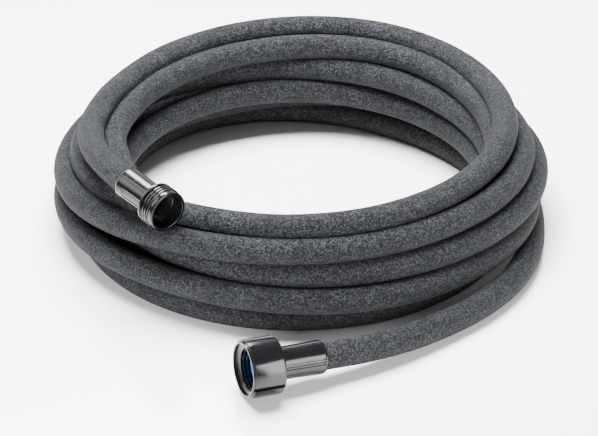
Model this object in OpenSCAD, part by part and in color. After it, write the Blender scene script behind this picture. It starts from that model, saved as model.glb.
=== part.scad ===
// Coiled soaker hose with a swivel inlet coupling and a threaded outlet coupling.
// The pile of turns lies on the floor, z = 0, and both couplings lie level on it or beside it.

/* [Hose] */
// Outer diameter of the porous hose
hose_od = 16.5; // [14:0.5:17]
// Outer diameter of the hose where it is stretched over a barbed stem
hose_end_od = 17; // [16.5:0.1:17]
// Mean diameter of the coil's turns
coil_d = 266; // [250:1:280]
// Height of the flat-topped pile of turns under the top turn
coil_h = 54; // [40:1:55]
// Width of the pile, from its inner side to its outer side
coil_w = 47; // [34:1:50]
// Distance that the pile is longer from left to right than from front to back
coil_stretch = 8; // [0:1:24]

/* [Threads] */
// Crest diameter of the outlet's male garden hose thread
male_crest_d = 26.9; // [26.5:0.1:27]
// Root diameter of the male thread
male_root_d = 24.1; // [23.5:0.1:24.5]
// Crest diameter of the inlet nut's female thread
female_crest_d = 24.6; // [24.4:0.1:24.8]
// Root diameter of the female thread
female_root_d = 27.4; // [27.2:0.1:27.6]
// Distance from one ridge of a thread to the next, 11.5 to the inch
thread_pitch = 2.209; // [2.1:0.001:2.3]

/* [Inlet coupling] */
// Diameter of the swivel nut over its three grip panels
nut_d = 35; // [33:0.5:38]
// Length of the swivel nut
nut_len = 21; // [20:0.5:24]
// Depth from the nut's mouth to the flow disc
seat_depth = 10; // [9:0.1:10]
// Thickness of the flow disc
disc_t = 1.4; // [1:0.1:1.6]
// Diameter of the flow disc's metering hole
disc_hole_d = 3.2; // [1:0.1:6]
// Thickness of the rubber washer
washer_t = 3; // [2:0.1:3]
// Diameter of the hole in the rubber washer
washer_id = 13; // [10:0.5:16]

/* [Outlet coupling] */
// Length of the threaded head
head_len = 13; // [12.5:0.1:16]
// Diameter of the head's open mouth
mouth_d = 21.7; // [18:0.1:22]
// Depth of the mouth down to its inner step
mouth_depth = 9.5; // [6:0.5:10]
// Diameter of the step's inner edge
step_d = 13; // [10:0.5:14]

/* [Hose tails and sleeves] */
// Outer diameter of the sleeve over each hose end
sleeve_d = 20; // [19.5:0.5:22]
// Distance from an inlet sleeve's front to its back
inlet_sleeve_len = 29; // [26:0.5:30]
// Distance from an outlet sleeve's front to its back
outlet_sleeve_len = 28.5; // [24:0.5:30]
// Diameter of the water way through each barbed tail
tail_bore_d = 7.2; // [5:0.2:7.4]
// Diameter of a tail over its barbs
barb_d = 10.6; // [10:0.1:11]
// Diameter of a tail between its barbs
barb_root_d = 9; // [8.6:0.1:9.4]
// Distance from one barb to the next
barb_pitch = 4.2; // [4:0.1:5]
// Number of barbs on each tail
barb_count = 4; // [3:1:4]
// Diameter of each stem's smooth neck
neck_d = 16; // [15:0.5:16]

/* [Hidden] */
$fn = 96;

// Where the pile and the two couplings stand in the frame. A coupling's own +X axis runs
// from its mouth towards the hose.
coil_at = [0, 38.5, 0];
inlet_at = [-34.5, -179, 18.9];
inlet_turn = 23;
inlet_tilt = -4;
outlet_at = [-81, -84.2, 70.2];
outlet_turn = 130;
outlet_tilt = 4;

// Clearances and small sizes
swivel_gap = 0.05;
end_gap = 0.3;
sleeve_wall = 2;
chamfer = 1;
round_r = 10;
tube_sides = 12;

// Nut: three panels, parted by lengthwise grooves
panel_count = 3;
panel_turn = 105;
groove_w = 3;
groove_depth = 1.5;
// The nut's front rim is a step lower than its panels
rim_step = 1;
rim_len = 1.2;
// Width of the rim's face, and depth of the open mouth in front of the thread
rim_w = 1.2;
mouth_len = 2.4;
seat_r = 12.9;
washer_at = seat_depth + disc_t;
flange_at = washer_at + washer_t + end_gap;
flange_t = 2.8;
flange_r = 12.4;
back_at = flange_at + flange_t + end_gap;
crest_flat = 0.5;

// Sleeves: pairs of lengthwise ribs, left standing between shallow grooves
rib_pairs = 4;
rib_spread = 9;
rib_groove_w = 1;
rib_groove_depth = 0.5;
inlet_rib_turn = 75;
outlet_rib_turn = 62;

// Barbed tails
inlet_sleeve_at = nut_len + 0.4;
outlet_sleeve_at = head_len;
tail_run = 5;

// The free stretch from the pile to the inlet, along the floor and up to the nut's height.
// It starts at the inlet sleeve's back.
inlet_run = [
    [12, -159.5, 15.5], [22, -155, 14.5], [32, -150.5, 13.5], [43, -144.5, 12.5], [54, -138, 11.5],
    [64, -131, 10.5], [74, -123.5, 9.5], [84, -115, 9], [95, -105.5, 8.5], [109, -92, 8.5],
    [122, -76, 8.5], [133.5, -57, 8.5], [141.5, -37, 8.5], [146.5, -15, 8.5]
];

// The top turn, which lies loose on the pile. It starts at the outlet sleeve's back.
outlet_run = [
    [-107.5, -52.5, 73.2], [-116, -40.5, 73.7], [-124, -25, 73], [-130.5, -7, 71], [-134.5, 14, 68],
    [-135.5, 36, 66], [-131.5, 60, 65.5], [-123, 85, 66], [-93, 130, 68], [-48, 162, 69],
    [4, 173.5, 69.5], [55, 163.5, 69.5], [97.5, 132.5, 68.5], [123.5, 88.5, 67.5], [131, 39, 67],
    [120, -10, 66], [88, -54, 65], [41, -82.5, 64], [-14, -88, 62], [-64, -71, 59],
    [-85, -54.5, 56], [-102, -33, 55]
];

// ---- The hose ----

// One side of the pile, cut on a plane through the coil's axis
module pile_outline() {
    inner = (coil_d - coil_w) / 2;
    translate([inner + round_r, 0]) square([coil_w - 2 * round_r, coil_h]);
    translate([inner, round_r]) square([coil_w, coil_h - 2 * round_r]);
    for (x = [inner + round_r, inner + coil_w - round_r])
        for (z = [round_r, coil_h - round_r])
            translate([x, z]) circle(r = round_r);
}

module hose_coil() {
    color([0.20, 0.21, 0.22])
        for (side = [-1, 1])
            translate(coil_at + [side * coil_stretch / 2, 0, 0])
                rotate_extrude($fn = 144) pile_outline();
}

function unit(v) = v / norm(v);

// Direction of a route at point i
function heading(route, i) =
    unit(route[min(i + 1, len(route) - 1)] - route[max(i - 1, 0)]);

// One ring of the tube around point i, square to the route there
function tube_ring(route, i) =
    let (along = heading(route, i),
         across = unit(cross([0, 0, 1], along)),
         over = cross(along, across))
    [for (k = [0 : tube_sides - 1])
        let (a = 360 * k / tube_sides)
        route[i] + hose_od / 2 * (cos(a) * across + sin(a) * over)];

// A round tube along a route, closed at both ends
module tube(route) {
    rings = len(route);
    points = [for (i = [0 : rings - 1]) each tube_ring(route, i)];
    skin = [for (i = [0 : rings - 2]) for (k = [0 : tube_sides - 1])
        let (n = (k + 1) % tube_sides, a = i * tube_sides, b = a + tube_sides)
        [a + k, b + k, b + n, a + n]];
    start_cap = [[for (k = [0 : tube_sides - 1]) k]];
    end_cap = [[for (k = [tube_sides - 1 : -1 : 0]) (rings - 1) * tube_sides + k]];
    polyhedron(points, concat(skin, start_cap, end_cap), convexity = 10);
}

module hose_inlet_run() { color([0.20, 0.21, 0.22]) tube(inlet_run); }

module hose_outlet_run() { color([0.20, 0.21, 0.22]) tube(outlet_run); }

// The hose's own end, pushed over a barbed tail
module hose_end(length) {
    rotate([0, 90, 0]) difference() {
        cylinder(d = hose_end_od, h = length);
        translate([0, 0, -1]) cylinder(d = barb_d, h = length + 2);
    }
}

// ---- Places of the two couplings ----

module at_inlet() {
    translate(inlet_at) rotate([0, -inlet_tilt, inlet_turn]) children();
}

module at_outlet() {
    translate(outlet_at) rotate([0, -outlet_tilt, outlet_turn]) children();
}

// Turns an outline drawn as [distance from the mouth, radius] about the coupling's axis
module turned(outline) {
    rotate([0, 90, 0]) rotate_extrude()
        polygon([for (p = outline) [p[1], p[0]]]);
}

// A plain round bar or hole from x0 to x1
module bar(d, x0, x1) {
    translate([x0, 0, 0]) rotate([0, 90, 0]) cylinder(d = d, h = x1 - x0);
}

// Barbs of a tail that starts at x0: each rises slowly and drops off square, so that the
// hose slides on and doesn't slide off
module barbs(x0) {
    for (i = [0 : barb_count - 1]) {
        x = x0 + 1.5 + i * barb_pitch;
        turned([[x, 0], [x, barb_d / 2], [x + 0.5, barb_d / 2],
                [x + barb_pitch - 1, barb_root_d / 2], [x + barb_pitch - 1, 0]]);
    }
}

// A sleeve with a front wall that fits round the neck, and pairs of lengthwise ribs
module sleeve(x0, length, rib_turn) {
    back = x0 + length;
    difference() {
        turned([[x0, 0], [x0, sleeve_d / 2], [back - chamfer, sleeve_d / 2],
                [back, sleeve_d / 2 - chamfer], [back, 0]]);
        bar(neck_d, x0 - 1, x0 + sleeve_wall + 1);
        bar(hose_end_od, x0 + sleeve_wall, back + 1);
        for (i = [0 : rib_pairs - 1]) for (side = [-1, 0, 1])
            rotate([rib_turn + i * 360 / rib_pairs + side * rib_spread, 0, 0])
                translate([x0 - 1, -rib_groove_w / 2, sleeve_d / 2 - rib_groove_depth])
                    cube([length + 2, rib_groove_w, 2]);
    }
}

// ---- Inlet coupling ----

module nut_body() {
    r = nut_d / 2;
    difference() {
        turned([[0, 0], [0, r - rim_step - 0.3], [0.3, r - rim_step], [rim_len, r - rim_step],
                [rim_len, r - 0.4], [rim_len + 0.4, r], [nut_len - chamfer, r],
                [nut_len, r - chamfer], [nut_len, 0]]);
        for (i = [0 : panel_count - 1])
            rotate([panel_turn + i * 360 / panel_count, 0, 0])
                translate([rim_len, -groove_w / 2, r - groove_depth])
                    cube([nut_len, groove_w, groove_depth + 1]);
    }
}

// The hollow of the nut: an open mouth, the thread's crests, the seat and the back bore
module nut_hollow() {
    crest = female_crest_d / 2;
    root = female_root_d / 2;
    mouth_r = nut_d / 2 - rim_step - rim_w;
    turned([[-1, 0], [-1, mouth_r], [mouth_len / 2, mouth_r], [mouth_len, crest],
            [seat_depth, crest], [seat_depth, 0]]);
    for (i = [0 : 2]) {
        x = mouth_len + crest_flat + i * thread_pitch;
        turned([[x, 0], [x, crest], [x + 0.65, root], [x + 0.95, root],
                [x + 1.6, crest], [x + 1.6, 0]]);
    }
    bar(2 * seat_r, seat_depth, back_at);
    bar(neck_d + 2 * swivel_gap, back_at - 1, nut_len + 1);
}

module swivel_nut() {
    color([0.06, 0.06, 0.07]) at_inlet() difference() {
        nut_body();
        nut_hollow();
    }
}

module flow_disc() {
    color([0.02, 0.40, 0.85]) at_inlet() difference() {
        bar(2 * seat_r - 0.6, seat_depth, seat_depth + disc_t);
        bar(disc_hole_d, seat_depth - 1, seat_depth + disc_t + 1);
    }
}

module rubber_washer() {
    color([0.10, 0.10, 0.10]) at_inlet() difference() {
        bar(2 * seat_r, washer_at, washer_at + washer_t);
        bar(washer_id, washer_at - 1, washer_at + washer_t + 1);
    }
}

module inlet_stem() {
    neck_end = inlet_sleeve_at + sleeve_wall;
    tail_end = neck_end + 1.5 + barb_count * barb_pitch + tail_run;
    color([0.08, 0.08, 0.09]) at_inlet() difference() {
        union() {
            bar(2 * flange_r, flange_at, flange_at + flange_t);
            bar(neck_d, flange_at, neck_end);
            bar(barb_root_d, neck_end, tail_end);
            barbs(neck_end);
        }
        bar(tail_bore_d, flange_at - 1, tail_end + 1);
    }
}

module inlet_sleeve() {
    color([0.07, 0.07, 0.08]) at_inlet()
        sleeve(inlet_sleeve_at, inlet_sleeve_len, inlet_rib_turn);
}

module hose_inlet_end() {
    color([0.20, 0.21, 0.22]) at_inlet() translate([inlet_sleeve_at + sleeve_wall, 0, 0])
        hose_end(inlet_sleeve_len - sleeve_wall);
}

// ---- Outlet coupling ----

// The head's outside: a smooth nose, then the thread's ridges, then a shoulder
module head_outside() {
    crest = male_crest_d / 2;
    root = male_root_d / 2;
    nose = crest - 0.45;
    turned([[0, 0], [0, nose - 0.7], [0.7, nose], [3.4, nose], [3.4, root],
            [head_len - 2.6, root], [head_len - 1.9, crest], [head_len, crest], [head_len, 0]]);
    for (i = [0 : 2]) {
        x = 4.4 + i * thread_pitch;
        turned([[x - 0.15, 0], [x - 0.15, root], [x + 0.4, crest], [x + 0.9, crest],
                [x + 1.45, root], [x + 1.45, 0]]);
    }
}

module outlet_fitting() {
    neck_end = outlet_sleeve_at + sleeve_wall;
    tail_end = neck_end + 1.5 + barb_count * barb_pitch + tail_run - 2;
    color([0.06, 0.06, 0.07]) at_outlet() difference() {
        union() {
            head_outside();
            bar(neck_d, head_len - 1, neck_end);
            bar(barb_root_d, neck_end, tail_end);
            barbs(neck_end);
        }
        bar(mouth_d, -1, mouth_depth);
        turned([[mouth_depth - 1, 0], [mouth_depth - 1, step_d / 2], [mouth_depth + 1, step_d / 2],
                [mouth_depth + 6, tail_bore_d / 2], [mouth_depth + 6, 0]]);
        bar(tail_bore_d, mouth_depth, tail_end + 1);
    }
}

module outlet_sleeve() {
    color([0.07, 0.07, 0.08]) at_outlet()
        sleeve(outlet_sleeve_at, outlet_sleeve_len, outlet_rib_turn);
}

module hose_outlet_end() {
    color([0.20, 0.21, 0.22]) at_outlet() translate([outlet_sleeve_at + sleeve_wall, 0, 0])
        hose_end(outlet_sleeve_len - sleeve_wall);
}

hose_coil();
hose_inlet_run();
hose_outlet_run();
hose_inlet_end();
hose_outlet_end();
swivel_nut();
flow_disc();
rubber_washer();
inlet_stem();
inlet_sleeve();
outlet_fitting();
outlet_sleeve();
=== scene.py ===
import math

import bpy
from mathutils import Matrix, Vector, noise


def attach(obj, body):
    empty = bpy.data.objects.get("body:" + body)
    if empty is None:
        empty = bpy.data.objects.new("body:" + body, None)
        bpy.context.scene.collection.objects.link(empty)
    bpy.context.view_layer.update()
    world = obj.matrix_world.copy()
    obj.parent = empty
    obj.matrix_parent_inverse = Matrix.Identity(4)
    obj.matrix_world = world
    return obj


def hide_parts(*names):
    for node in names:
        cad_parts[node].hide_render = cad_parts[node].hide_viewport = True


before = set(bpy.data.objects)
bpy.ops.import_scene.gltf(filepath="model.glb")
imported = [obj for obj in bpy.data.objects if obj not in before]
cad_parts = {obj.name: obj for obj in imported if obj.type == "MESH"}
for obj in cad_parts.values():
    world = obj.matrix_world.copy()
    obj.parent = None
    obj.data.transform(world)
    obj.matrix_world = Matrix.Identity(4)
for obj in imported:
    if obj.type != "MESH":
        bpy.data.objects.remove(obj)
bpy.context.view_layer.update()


# ---- Sizes, as in the CAD model ----

HOSE_R = 0.00825
HOSE_END_R = 0.0085

NUT_R = 0.0175
NUT_LEN = 0.021
SEAT_DEPTH = 0.010
RIM_STEP = 0.001
RIM_LEN = 0.0012
RIM_W = 0.0012
NUT_MOUTH_LEN = 0.0024
DISC_T = 0.0014
DISC_HOLE_R = 0.0016
DISH_DEPTH = 0.0004
LIP_HEIGHT = 0.0008
SEAT_R = 0.0129
WASHER_T = 0.003
FLANGE_T = 0.0028
END_GAP = 0.0003
NECK_R = 0.008
SWIVEL_GAP = 0.00005
PANEL_TURNS = (105, 225, 345)
GROOVE_W = 0.003
GROOVE_DEPTH = 0.0015

FEMALE_CREST_R = 0.0123
FEMALE_ROOT_R = 0.0137
MALE_CREST_R = 0.01345
MALE_ROOT_R = 0.01205
PITCH = 0.002209

HEAD_LEN = 0.013
NOSE_R = 0.0130
NOSE_LEN = 0.0034
MOUTH_R = 0.01085
MOUTH_DEPTH = 0.0095
STEP_R = 0.0065
TAIL_BORE_R = 0.0036
BARB_R = 0.0053
BARB_ROOT_R = 0.0045
BARB_PITCH = 0.0042
BARBS = 4

SLEEVE_R = 0.010
SLEEVE_WALL = 0.002
INLET_SLEEVE_AT = NUT_LEN + 0.0004
INLET_SLEEVE_LEN = 0.029
OUTLET_SLEEVE_AT = HEAD_LEN
OUTLET_SLEEVE_LEN = 0.0285
INLET_RIB_TURN = 75
OUTLET_RIB_TURN = 62


def coupling_place(at, turn, tilt):
    """The matrix that puts a coupling, whose own +X runs from its mouth to the hose."""
    return (Matrix.Translation(at) @ Matrix.Rotation(math.radians(turn), 4, "Z")
            @ Matrix.Rotation(math.radians(-tilt), 4, "Y"))


INLET = coupling_place((-0.0345, -0.179, 0.0189), 23, -4)
OUTLET = coupling_place((-0.081, -0.0842, 0.0702), 130, 4)


# ---- Camera ----

CAMERA_ELEVATION = math.radians(30)
CAMERA_DISTANCE = 1.65
CAMERA_AIM = Vector((-0.002, -0.0215, 0.030))


def make_camera():
    data = bpy.data.cameras.new("camera")
    data.sensor_width = 36
    data.lens = 157.1
    camera = bpy.data.objects.new("camera", data)
    back = Vector((0, -math.cos(CAMERA_ELEVATION), math.sin(CAMERA_ELEVATION)))
    camera.location = CAMERA_AIM + CAMERA_DISTANCE * back
    camera.rotation_euler = (math.pi / 2 - CAMERA_ELEVATION, 0, 0)
    bpy.context.scene.collection.objects.link(camera)
    bpy.context.scene.camera = camera


make_camera()


# ---- Mesh helpers ----

def add_object(name, mesh):
    piece = bpy.data.objects.new(name, mesh)
    bpy.context.scene.collection.objects.link(piece)
    return piece


def ring_mesh(name, rings, closed_along, sharp_degrees=38):
    """A mesh through rings of points; closed_along joins the last ring to the first."""
    count = len(rings[0])
    points = [p for ring in rings for p in ring]
    faces = []
    last = len(rings) if closed_along else len(rings) - 1
    for i in range(last):
        a = i * count
        b = (i + 1) % len(rings) * count
        for k in range(count):
            n = (k + 1) % count
            faces.append((a + k, a + n, b + n, b + k))
    if not closed_along:
        faces.append(tuple(range(count - 1, -1, -1)))
        faces.append(tuple(range(len(points) - count, len(points))))
    mesh = bpy.data.meshes.new(name)
    mesh.from_pydata(points, [], faces)
    mesh.validate()
    mesh.shade_smooth()
    mesh.set_sharp_from_angle(angle=math.radians(sharp_degrees))
    mesh.update()
    return mesh


def smoothstep(t):
    t = min(max(t, 0.0), 1.0)
    return t * t * (3 - 2 * t)


# ---- The hose's route ----

# From the inlet sleeve's back, down to the floor and in under the pile's right side
INLET_RUN = [
    (0.012, -0.1595, 0.0155), (0.022, -0.155, 0.0145), (0.032, -0.1505, 0.0135),
    (0.043, -0.1445, 0.0125), (0.054, -0.138, 0.0115), (0.064, -0.131, 0.0105),
    (0.074, -0.1235, 0.0095), (0.084, -0.115, 0.009), (0.095, -0.1055, 0.0085),
    (0.109, -0.092, 0.0085), (0.122, -0.076, 0.0085), (0.1335, -0.057, 0.0085),
    (0.1415, -0.037, 0.0085), (0.1465, -0.015, 0.0085),
]
# From the outlet sleeve's back, once round on top of the pile
OUTLET_RUN = [
    (-0.1075, -0.0525, 0.0732), (-0.116, -0.0405, 0.0737), (-0.124, -0.025, 0.073),
    (-0.1305, -0.007, 0.071), (-0.1345, 0.014, 0.068), (-0.1355, 0.036, 0.066),
    (-0.1315, 0.06, 0.0655), (-0.123, 0.085, 0.066), (-0.093, 0.13, 0.068),
    (-0.048, 0.162, 0.069), (0.004, 0.1735, 0.0695), (0.055, 0.1635, 0.0695),
    (0.0975, 0.1325, 0.0685), (0.1235, 0.0885, 0.0675), (0.131, 0.039, 0.067),
    (0.12, -0.01, 0.066), (0.088, -0.054, 0.065), (0.041, -0.0825, 0.064),
    (-0.014, -0.088, 0.062), (-0.064, -0.071, 0.059), (-0.085, -0.0545, 0.056),
    (-0.102, -0.033, 0.055),
]
# The turns under it: (radius, height) at six stations a turn, from the left by the back and
# the right to the front left
TURNS_AXIS = (-0.002, 0.031)
BEFORE_TURNS = (0.120, 0.059)
TURNS = [
    ((0.12, 0.056), (0.124, 0.06), (0.1315, 0.0615),
     (0.128, 0.053), (0.12, 0.046), (0.116, 0.043)),
    ((0.14, 0.05), (0.1325, 0.0445), (0.1225, 0.0475),
     (0.128, 0.038), (0.119, 0.028), (0.117, 0.025)),
    ((0.133, 0.024), (0.13, 0.022), (0.139, 0.0225),
     (0.149, 0.0225), (0.145, 0.023), (0.1405, 0.0235)),
    ((0.1515, 0.0205), (0.147, 0.025), (0.144, 0.047),
     (0.1445, 0.0515), (0.132, 0.0525), (0.133, 0.049)),
    ((0.151, 0.0365), (0.154, 0.0385), (0.1545, 0.034),
     (0.1535, 0.0375), (0.1375, 0.0375), (0.129, 0.0365)),
    ((0.119, 0.031), (0.1185, 0.033), (0.1215, 0.03),
     (0.124, 0.025), (0.118, 0.011), (0.118, 0.0085)),
    ((0.122, 0.0085), (0.14, 0.0085), (0.13, 0.0085),
     (0.133, 0.0085), (0.135, 0.0085), (0.1375, 0.0085)),
    ((0.1395, 0.0085), (0.156, 0.0085), (0.148, 0.0085),
     (0.1505, 0.0085), (0.16, 0.0085), (0.16, 0.0085)),
]
STATIONS = 6
POINTS_PER_STATION = 4


def catmull_rom(p0, p1, p2, p3, t):
    return 0.5 * (2 * p1 + (p2 - p0) * t + (2 * p0 - 5 * p1 + 4 * p2 - p3) * t * t
                  + (3 * p1 - p0 - 3 * p2 + p3) * t ** 3)


def turn_points():
    """The wound turns' points, 24 to a turn, down to the last one's right side."""
    stations = [BEFORE_TURNS] + [s for turn in TURNS for s in turn]
    last = STATIONS * (len(TURNS) - 1) + STATIONS // 2
    points = []
    for k in range(last + 1):
        for j in range(POINTS_PER_STATION if k < last else 1):
            t = j / POINTS_PER_STATION
            around = [Vector(stations[k + i]) for i in range(4)]
            radius, height = catmull_rom(*around, t)
            angle = math.pi - 2 * math.pi * (k + t) / STATIONS
            points.append(Vector((TURNS_AXIS[0] + radius * math.cos(angle),
                                  TURNS_AXIS[1] + radius * math.sin(angle), height)))
    return points


def chord_curve(points, step):
    """A smooth curve through points, by Catmull-Rom on the square root of the chords."""
    points = [Vector(p) for p in points]
    points = [2 * points[0] - points[1]] + points + [2 * points[-1] - points[-2]]
    curve = []
    for i in range(1, len(points) - 2):
        p = points[i - 1:i + 3]
        t = [0.0]
        for a, b in zip(p, p[1:]):
            t.append(t[-1] + math.sqrt((b - a).length))
        count = max(1, round((p[2] - p[1]).length / step))
        for j in range(count):
            u = t[1] + (t[2] - t[1]) * j / count
            a = [p[k] + (p[k + 1] - p[k]) * ((u - t[k]) / (t[k + 1] - t[k])) for k in range(3)]
            b = [a[k] + (a[k + 1] - a[k]) * ((u - t[k]) / (t[k + 2] - t[k])) for k in range(2)]
            curve.append(b[0] + (b[1] - b[0]) * ((u - t[1]) / (t[2] - t[1])))
    curve.append(points[-2])
    return curve


RING_STEP = 0.004
SMOOTHING_PASSES = 6
# How far the ends of the centreline go straight inside the inlet and outlet sleeves
INLET_STRAIGHT = 0.013
OUTLET_STRAIGHT = 0.012


def hose_route():
    """The whole centreline, from inside the inlet sleeve to inside the outlet sleeve."""
    inlet_start = [INLET @ Vector((INLET_SLEEVE_AT + SLEEVE_WALL + x, 0, 0))
                   for x in (0, INLET_STRAIGHT)]
    outlet_end = [OUTLET @ Vector((OUTLET_SLEEVE_AT + SLEEVE_WALL + x, 0, 0))
                  for x in (OUTLET_STRAIGHT, 0)]
    points = inlet_start + INLET_RUN + turn_points()[::-1] + OUTLET_RUN[::-1] + outlet_end
    curve = chord_curve(points, RING_STEP)
    for _ in range(SMOOTHING_PASSES):
        curve = ([curve[0]] + [(a + 2 * b + c) / 4 for a, b, c in zip(curve, curve[1:], curve[2:])]
                 + [curve[-1]])
    return curve


HOSE_SIDES = 28
# The length of the loose top turn, from the outlet, and how it is flattened
TOP_TURN = 1.02
TOP_TURN_FLAT = 0.93
TOP_TURN_WIDER = 0.03
# How far from each end the hose narrows from its stretched size
STRETCHED = 0.026
NARROWING = 0.006


def make_hose():
    """The hose as one tube: a little uneven, and flattened where the top turn lies loose."""
    route = hose_route()
    along = [0.0]
    for a, b in zip(route, route[1:]):
        along.append(along[-1] + (b - a).length)
    total = along[-1]
    rings = []
    for i, centre in enumerate(route):
        s = along[i]
        heading = (route[min(i + 1, len(route) - 1)] - route[max(i - 1, 0)]).normalized()
        across = Vector((0, 0, 1)).cross(heading).normalized()
        over = heading.cross(across)
        from_end = min(s, total - s)
        stretched = 1 - smoothstep((from_end - STRETCHED) / NARROWING)
        radius = HOSE_R + (HOSE_END_R - HOSE_R) * stretched
        to_outlet = total - s
        top = smoothstep((TOP_TURN - to_outlet) / 0.12) * smoothstep((to_outlet - 0.03) / 0.05)
        swell = 0.012 * noise.noise(Vector((s * 18, 3.7, 0)))
        oval = 0.022 * noise.noise(Vector((s * 7, 9.1, 0)))
        tall = 1 + swell + oval + (TOP_TURN_FLAT - 1) * top
        wide = 1 + swell - oval + TOP_TURN_WIDER * top
        ring = []
        for k in range(HOSE_SIDES):
            a = 2 * math.pi * k / HOSE_SIDES
            lump = 1 + 0.006 * noise.noise(Vector((s * 260, 3 * math.cos(a), 3 * math.sin(a))))
            ring.append(centre + radius * lump * (wide * math.cos(a) * across
                                                  + tall * math.sin(a) * over))
        rings.append(ring)
    return add_object("hose_tube", ring_mesh("hose_tube", rings, False)), route


# ---- Materials ----

def new_material(name):
    material = bpy.data.materials.new(name)
    material.use_nodes = True
    nodes = material.node_tree.nodes
    links = material.node_tree.links
    return material, nodes, links, nodes["Principled BSDF"]


def add_node(nodes, kind, **values):
    node = nodes.new(kind)
    for key, value in values.items():
        if hasattr(node, key):
            setattr(node, key, value)
        else:
            node.inputs[key.replace("_", " ")].default_value = value
    return node


def ramp(nodes, stops):
    node = nodes.new("ShaderNodeValToRGB")
    elements = node.color_ramp.elements
    while len(elements) < len(stops):
        elements.new(0.5)
    for element, (position, colour) in zip(elements, stops):
        element.position = position
        element.color = (*colour, 1)
    return node


def rubber_material():
    """Porous crumb rubber: charcoal grains under a millimetre across, some pale, with pits."""
    material, nodes, links, shader = new_material("porous_rubber")
    where = add_node(nodes, "ShaderNodeTexCoord")
    grains = add_node(nodes, "ShaderNodeTexVoronoi", Scale=1350.0)
    crumbs = add_node(nodes, "ShaderNodeTexNoise", Scale=1700.0, Detail=2.0, Roughness=0.6)
    patches = add_node(nodes, "ShaderNodeTexNoise", Scale=60.0, Detail=2.0)
    for texture in (grains, crumbs, patches):
        links.new(where.outputs["Object"], texture.inputs["Vector"])
    grain_tone = add_node(nodes, "ShaderNodeSeparateColor")
    links.new(grains.outputs["Color"], grain_tone.inputs["Color"])
    mixed = add_node(nodes, "ShaderNodeMix", data_type="FLOAT")
    mixed.inputs[0].default_value = 0.45
    links.new(grain_tone.outputs["Red"], mixed.inputs[2])
    links.new(crumbs.outputs["Fac"], mixed.inputs[3])
    colour = ramp(nodes, [(0.26, (0.0029, 0.0029, 0.0034)), (0.44, (0.0087, 0.0090, 0.0103)),
                          (0.58, (0.0143, 0.0150, 0.0167)), (0.76, (0.034, 0.0363, 0.0403))])
    links.new(mixed.outputs[0], colour.inputs["Fac"])
    shade = add_node(nodes, "ShaderNodeMix", data_type="RGBA", blend_type="MULTIPLY")
    shade.inputs[0].default_value = 0.6
    links.new(colour.outputs["Color"], shade.inputs[6])
    tone = ramp(nodes, [(0.3, (0.74, 0.74, 0.75)), (0.7, (1.2, 1.2, 1.2))])
    links.new(patches.outputs["Fac"], tone.inputs["Fac"])
    links.new(tone.outputs["Color"], shade.inputs[7])
    links.new(shade.outputs[2], shader.inputs["Base Color"])
    pits = add_node(nodes, "ShaderNodeMath", operation="MULTIPLY_ADD")
    links.new(grains.outputs["Distance"], pits.inputs[0])
    pits.inputs[1].default_value = -0.6
    links.new(crumbs.outputs["Fac"], pits.inputs[2])
    bump = add_node(nodes, "ShaderNodeBump", Strength=0.9, Distance=0.0006)
    links.new(pits.outputs["Value"], bump.inputs["Height"])
    links.new(bump.outputs["Normal"], shader.inputs["Normal"])
    shader.inputs["Roughness"].default_value = 0.8
    shader.inputs["Specular IOR Level"].default_value = 0.2
    return material


def plastic_material(name, colour, roughness):
    """Moulded plastic: nearly even, with faint clouding of its gloss and flow marks."""
    material, nodes, links, shader = new_material(name)
    where = add_node(nodes, "ShaderNodeTexCoord")
    cloud = add_node(nodes, "ShaderNodeTexNoise", Scale=160.0, Detail=4.0)
    fine = add_node(nodes, "ShaderNodeTexNoise", Scale=2600.0, Detail=2.0)
    for texture in (cloud, fine):
        links.new(where.outputs["Object"], texture.inputs["Vector"])
    gloss = ramp(nodes, [(0.3, (roughness * 0.8,) * 3), (0.7, (roughness * 1.3,) * 3)])
    links.new(cloud.outputs["Fac"], gloss.inputs["Fac"])
    links.new(gloss.outputs["Color"], shader.inputs["Roughness"])
    dark = tuple(0.8 * c for c in colour)
    tint = ramp(nodes, [(0.3, dark), (0.7, colour)])
    links.new(cloud.outputs["Fac"], tint.inputs["Fac"])
    links.new(tint.outputs["Color"], shader.inputs["Base Color"])
    bump = add_node(nodes, "ShaderNodeBump", Strength=0.05, Distance=0.00005)
    links.new(fine.outputs["Fac"], bump.inputs["Height"])
    links.new(bump.outputs["Normal"], shader.inputs["Normal"])
    shader.inputs["Specular IOR Level"].default_value = 0.4
    return material


RUBBER = rubber_material()
BLACK = plastic_material("black_gloss_plastic", (0.0030, 0.0033, 0.0040), 0.15)
BLUE = plastic_material("blue_disc_plastic", (0.008, 0.16, 0.58), 0.32)
WASHER_RUBBER = plastic_material("soft_washer_rubber", (0.02, 0.02, 0.021), 0.55)


def give_material(piece, material):
    piece.data.materials.clear()
    piece.data.materials.append(material)


# ---- Hose ----

hose, route = make_hose()
give_material(hose, RUBBER)


# ---- Turned plastic parts ----

def rounded(corners, steps=3):
    """Points of an outline from (x, r, rounding) corners, in order round it."""
    points = []
    count = len(corners)
    for i, (x, r, size) in enumerate(corners):
        here = Vector((x, r))
        if size == 0:
            points.append((x, r))
            continue
        before = Vector(corners[i - 1][:2]) - here
        after = Vector(corners[(i + 1) % count][:2]) - here
        start = here + before.normalized() * min(size, 0.45 * before.length)
        end = here + after.normalized() * min(size, 0.45 * after.length)
        for j in range(steps + 1):
            t = j / steps
            p = (1 - t) ** 2 * start + 2 * t * (1 - t) * here + t * t * end
            points.append((p.x, p.y))
    return points


def angles_with(edges, sides):
    """Even angles round a part, in degrees, with closer ones at its features' edges."""
    extra = sorted({round(e % 360, 3) for e in edges})
    even = [360 * k / sides for k in range(sides)]
    kept = [a for a in even
            if all(abs((a - e + 180) % 360 - 180) > 0.35 for e in extra)]
    return sorted(kept + extra)


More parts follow.
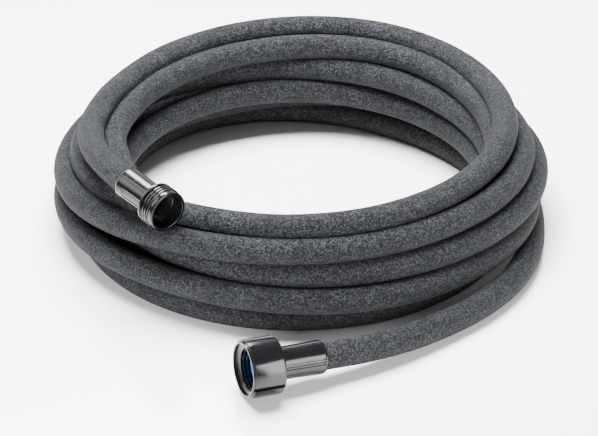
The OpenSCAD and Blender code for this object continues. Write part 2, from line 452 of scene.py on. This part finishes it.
def turned(name, outline, place, material, angles, dent=None):
    """A closed solid: an outline of (x, r) points turned about +X, with dent(x, r, a) as r."""
    rings = []
    for a in angles:
        y = -math.sin(math.radians(a))
        z = math.cos(math.radians(a))
        ring = []
        for x, r in outline:
            q = dent(x, r, a) if dent else r
            ring.append(place @ Vector((x, q * y, q * z)))
        rings.append(ring)
    piece = add_object(name, ring_mesh(name, rings, True))
    give_material(piece, material)
    return piece


def between(a, centre):
    """How far an angle is from a centre, in degrees, from -180 to 180."""
    return (a - centre + 180) % 360 - 180


def slot_depth(offset, half_width, wall):
    """1 in a slot, 0 outside it, with walls of the given width."""
    return 1 - smoothstep((abs(offset) - half_width + wall) / wall)


def slot_edges(centre, half_width, wall):
    marks = [half_width - wall, half_width - 0.7 * wall, half_width - 0.3 * wall, half_width]
    return [centre + side * m for side in (-1, 1) for m in marks]


def thread_ridge(x, a, start, end):
    """Height of a right-handed thread, from 0 at its root to 1 at its crest."""
    phase = ((x - start) / PITCH - a / 360) % 1.0
    flank = 0.27
    height = 1 - smoothstep((abs(phase - 0.5) - 0.2) / flank)
    fade = smoothstep((x - start) / 0.0008) * smoothstep((end - x) / 0.0008)
    return height * fade


def stations(start, end, step):
    count = max(2, round((end - start) / step))
    return [start + (end - start) * k / count for k in range(count + 1)]


# ---- Inlet coupling ----

def make_nut():
    """Swivel nut: three panels between grooves, a helical thread inside, and a back bore."""
    half = math.degrees(GROOVE_W / 2 / NUT_R)
    wall = 1.0
    thread_start = NUT_MOUTH_LEN + 0.0002
    rim_r = NUT_R - RIM_STEP
    outside = rounded([(NUT_MOUTH_LEN, FEMALE_ROOT_R, 0.0001),
                       (NUT_MOUTH_LEN - 0.0004, rim_r - RIM_W, 0.0002),
                       (0, rim_r - RIM_W, 0.0004),
                       (0, rim_r, 0.0004), (RIM_LEN, rim_r, 0.0002), (RIM_LEN, NUT_R, 0.0005),
                       (NUT_LEN - 0.0012, NUT_R, 0.0006), (NUT_LEN, NUT_R - 0.0013, 0.0004),
                       (NUT_LEN, NECK_R + SWIVEL_GAP, 0.0003)])
    back_of_seat = SEAT_DEPTH + DISC_T + WASHER_T + FLANGE_T + 2 * END_GAP
    inside = [(back_of_seat, NECK_R + SWIVEL_GAP), (back_of_seat, SEAT_R), (SEAT_DEPTH, SEAT_R),
              (SEAT_DEPTH, FEMALE_CREST_R)]
    thread = [(x, FEMALE_ROOT_R) for x in stations(thread_start, SEAT_DEPTH - 0.0003, PITCH / 12)]
    outline = outside + inside + thread[::-1]

    def dent(x, r, a):
        if r > rim_r and x > RIM_LEN - 0.0001:
            depth = max(slot_depth(between(a, g), half, wall) for g in PANEL_TURNS)
            return min(r, r + (NUT_R - GROOVE_DEPTH - r) * depth)
        if (x, r) in thread:
            ridge = thread_ridge(x, a, thread_start, SEAT_DEPTH)
            return r - (FEMALE_ROOT_R - FEMALE_CREST_R) * ridge
        return r

    edges = [e for g in PANEL_TURNS for e in slot_edges(g, half, wall)]
    return turned("swivel_nut_shell", outline, INLET, BLACK, angles_with(edges, 144), dent)


def make_disc():
    """Flow disc: a raised lip, a shallow dish, and the metering hole in a low boss."""
    edge = SEAT_R - 0.0003
    x0 = SEAT_DEPTH
    x1 = SEAT_DEPTH + DISC_T
    lip = x0 - LIP_HEIGHT
    dish = x0 + DISH_DEPTH
    outline = rounded([(x0, DISC_HOLE_R, 0.0001), (x0, 0.0032, 0.0002), (dish, 0.0037, 0.0002),
                       (dish, 0.0070, 0.0002), (lip, 0.0080, 0.0002), (lip, 0.0119, 0.0003),
                       (x0, 0.0121, 0.0002), (x0, edge, 0.0003),
                       (x1, edge, 0.0003), (x1, DISC_HOLE_R, 0.0001)])
    return turned("flow_disc_dish", outline, INLET, BLUE, angles_with([], 96))


def make_sleeve(name, place, at, length, rib_turn, panel_at, panel_len, panel_turn):
    """Sleeve with rib pairs between shallow grooves, and one plain recessed panel."""
    back = at + length
    r0 = SLEEVE_R - 0.0002
    r1 = SLEEVE_R + 0.0003
    ends = [(at, NECK_R, 0.0002), (at, r0, 0.0004)]
    body = [(x, r0 + (r1 - r0) * (x - at) / length)
            for x in stations(at + 0.0006, back - 0.0026, 0.0009)]
    outline = (rounded(ends + [(back, r1, 0)])[:-1] + body
               + rounded([body[-1] + (0,), (back - 0.0018, r1, 0.0010), (back, r1 - 0.0011, 0.0006),
                          (back, HOSE_END_R, 0.0002), (at + SLEEVE_WALL, HOSE_END_R, 0),
                          (at + SLEEVE_WALL, NECK_R, 0)])[1:])
    centres = [rib_turn + 90 * i + s for i in range(4) for s in (-9, 0, 9)]
    half = math.degrees(0.0005 / SLEEVE_R)
    wall = 1.4
    panel_half = 15

    def dent(x, r, a):
        if r < HOSE_END_R + 0.0006:
            return r
        depth = 0.0005 * max(slot_depth(between(a, c), half, wall) for c in centres)
        depth *= smoothstep((back - 0.0012 - x) / 0.001)
        along = slot_depth(x - panel_at - panel_len / 2, panel_len / 2, 0.0005)
        around = slot_depth(between(a, panel_turn), panel_half, 2.5)
        return r - depth - 0.00035 * along * around

    edges = [e for c in centres for e in slot_edges(c, half, wall)]
    edges += slot_edges(panel_turn, panel_half, 2.5)
    return turned(name, outline, place, BLACK, angles_with(edges, 120), dent)


# ---- Outlet coupling ----

def make_outlet():
    """Threaded head with its mouth and step, the neck, and the barbed tail, in one piece."""
    thread_start = NOSE_LEN
    thread_end = HEAD_LEN - 0.0021
    neck_end = OUTLET_SLEEVE_AT + SLEEVE_WALL
    tail_end = neck_end + 0.0015 + BARBS * BARB_PITCH + 0.003
    nose = rounded([(MOUTH_DEPTH, MOUTH_R, 0.0003), (0, MOUTH_R, 0.0004), (0, NOSE_R, 0.0008),
                    (NOSE_LEN - 0.0001, NOSE_R, 0.0002), (NOSE_LEN, MALE_ROOT_R, 0)])[4:-1]
    thread = [(x, MALE_ROOT_R) for x in stations(thread_start, thread_end, PITCH / 12)]
    shoulder = rounded([(thread_end, MALE_ROOT_R, 0), (thread_end + 0.0005, MALE_CREST_R, 0.0002),
                        (HEAD_LEN, MALE_CREST_R, 0.0004), (HEAD_LEN, NECK_R, 0.0002),
                        (neck_end, NECK_R, 0.0002), (neck_end, BARB_ROOT_R, 0)])[1:]
    barbs = []
    for i in range(BARBS):
        x = neck_end + 0.0015 + i * BARB_PITCH
        barbs += [(x, BARB_ROOT_R), (x, BARB_R), (x + 0.0005, BARB_R),
                  (x + BARB_PITCH - 0.001, BARB_ROOT_R)]
    bore = [(tail_end, BARB_ROOT_R), (tail_end, TAIL_BORE_R), (MOUTH_DEPTH + 0.006, TAIL_BORE_R),
            (MOUTH_DEPTH + 0.001, STEP_R), (MOUTH_DEPTH, STEP_R + 0.0003),
            (MOUTH_DEPTH, MOUTH_R - 0.0003), (MOUTH_DEPTH - 0.0003, MOUTH_R)]
    outline = nose + thread + shoulder + barbs + bore

    def dent(x, r, a):
        if r == MALE_ROOT_R:
            return r + (MALE_CREST_R - MALE_ROOT_R) * thread_ridge(x, a, thread_start, thread_end)
        return r

    return turned("outlet_threaded_end", outline, OUTLET, BLACK, angles_with([], 160), dent)


nut = make_nut()
disc = make_disc()
inlet_sleeve = make_sleeve("inlet_ribbed_sleeve", INLET, INLET_SLEEVE_AT, INLET_SLEEVE_LEN,
                           INLET_RIB_TURN, INLET_SLEEVE_AT + 0.004, 0.019, 107)
outlet_sleeve = make_sleeve("outlet_ribbed_sleeve", OUTLET, OUTLET_SLEEVE_AT, OUTLET_SLEEVE_LEN,
                            OUTLET_RIB_TURN, OUTLET_SLEEVE_AT + 0.003, 0.017, -86)
outlet = make_outlet()

give_material(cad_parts["inlet_stem"], BLACK)
give_material(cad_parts["rubber_washer"], WASHER_RUBBER)


# ---- Pieces and bodies ----

for piece in (hose, inlet_sleeve, outlet_sleeve, outlet):
    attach(piece, "hose")
for piece in (nut, disc):
    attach(piece, "nut")
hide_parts("hose_coil", "hose_inlet_run", "hose_outlet_run", "hose_inlet_end",
            "hose_outlet_end")
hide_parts("swivel_nut")
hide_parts("flow_disc")
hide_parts("inlet_sleeve")
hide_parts("outlet_sleeve")
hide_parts("outlet_fitting")


# ---- Floor and light ----

def floor_material():
    material, nodes, links, shader = new_material("pale_studio_floor")
    where = add_node(nodes, "ShaderNodeTexCoord")
    cloud = add_node(nodes, "ShaderNodeTexNoise", Scale=3.0, Detail=2.0)
    links.new(where.outputs["Object"], cloud.inputs["Vector"])
    tint = ramp(nodes, [(0.3, (0.86, 0.86, 0.855)), (0.7, (0.89, 0.89, 0.885))])
    links.new(cloud.outputs["Fac"], tint.inputs["Fac"])
    links.new(tint.outputs["Color"], shader.inputs["Base Color"])
    shader.inputs["Roughness"].default_value = 0.16
    shader.inputs["Specular IOR Level"].default_value = 0.5
    return material


def make_floor():
    """A flat floor that sweeps up far behind the hose."""
    front, back, side, rise, radius = -3.0, 2.4, 4.0, 2.4, 1.2
    profile = [(front, 0.0), (back - radius, 0.0)]
    for k in range(1, 17):
        a = math.pi / 2 * k / 16
        profile.append((back - radius + radius * math.sin(a), radius - radius * math.cos(a)))
    profile.append((back, rise))
    points = [(x, y, z) for y, z in profile for x in (-side, side)]
    faces = [(2 * i, 2 * i + 1, 2 * i + 3, 2 * i + 2) for i in range(len(profile) - 1)]
    mesh = bpy.data.meshes.new("studio_floor")
    mesh.from_pydata(points, [], faces)
    mesh.shade_smooth()
    floor = add_object("studio_floor", mesh)
    give_material(floor, floor_material())


def softbox(name, azimuth, elevation, distance, width, height, radiance, mirrored=True,
            lights=True):
    """A rectangular light that faces the hose; azimuth 0 is over the camera, 90 to the right."""
    data = bpy.data.lights.new(name, "AREA")
    data.shape = "RECTANGLE"
    data.size = width
    data.size_y = height
    data.energy = radiance * math.pi * width * height
    light = bpy.data.objects.new(name, data)
    a, e = math.radians(azimuth), math.radians(elevation)
    towards = Vector((math.sin(a) * math.cos(e), -math.cos(a) * math.cos(e), math.sin(e)))
    light.location = towards * distance
    light.rotation_euler = towards.to_track_quat("Z", "Y").to_euler()
    light.visible_glossy = mirrored
    light.visible_diffuse = lights
    bpy.context.scene.collection.objects.link(light)


def make_light():
    world = bpy.data.worlds.new("studio")
    bpy.context.scene.world = world
    world.use_nodes = True
    background = world.node_tree.nodes["Background"]
    background.inputs["Color"].default_value = (0.96, 0.98, 1.0, 1)
    background.inputs["Strength"].default_value = 0.30
    softbox("key", 198, 76, 1.0, 0.8, 0.62, 65, mirrored=False)
    softbox("front low", -8, 10, 2.4, 2.2, 0.6, 44, mirrored=False)
    softbox("front right", 51, 18, 2.2, 1.1, 1.5, 17, lights=False)
    softbox("back", 196, 47, 2.0, 0.75, 0.6, 45, lights=False)
    softbox("left", 254, 36, 2.0, 1.1, 1.3, 5, lights=False)


make_floor()
make_light()
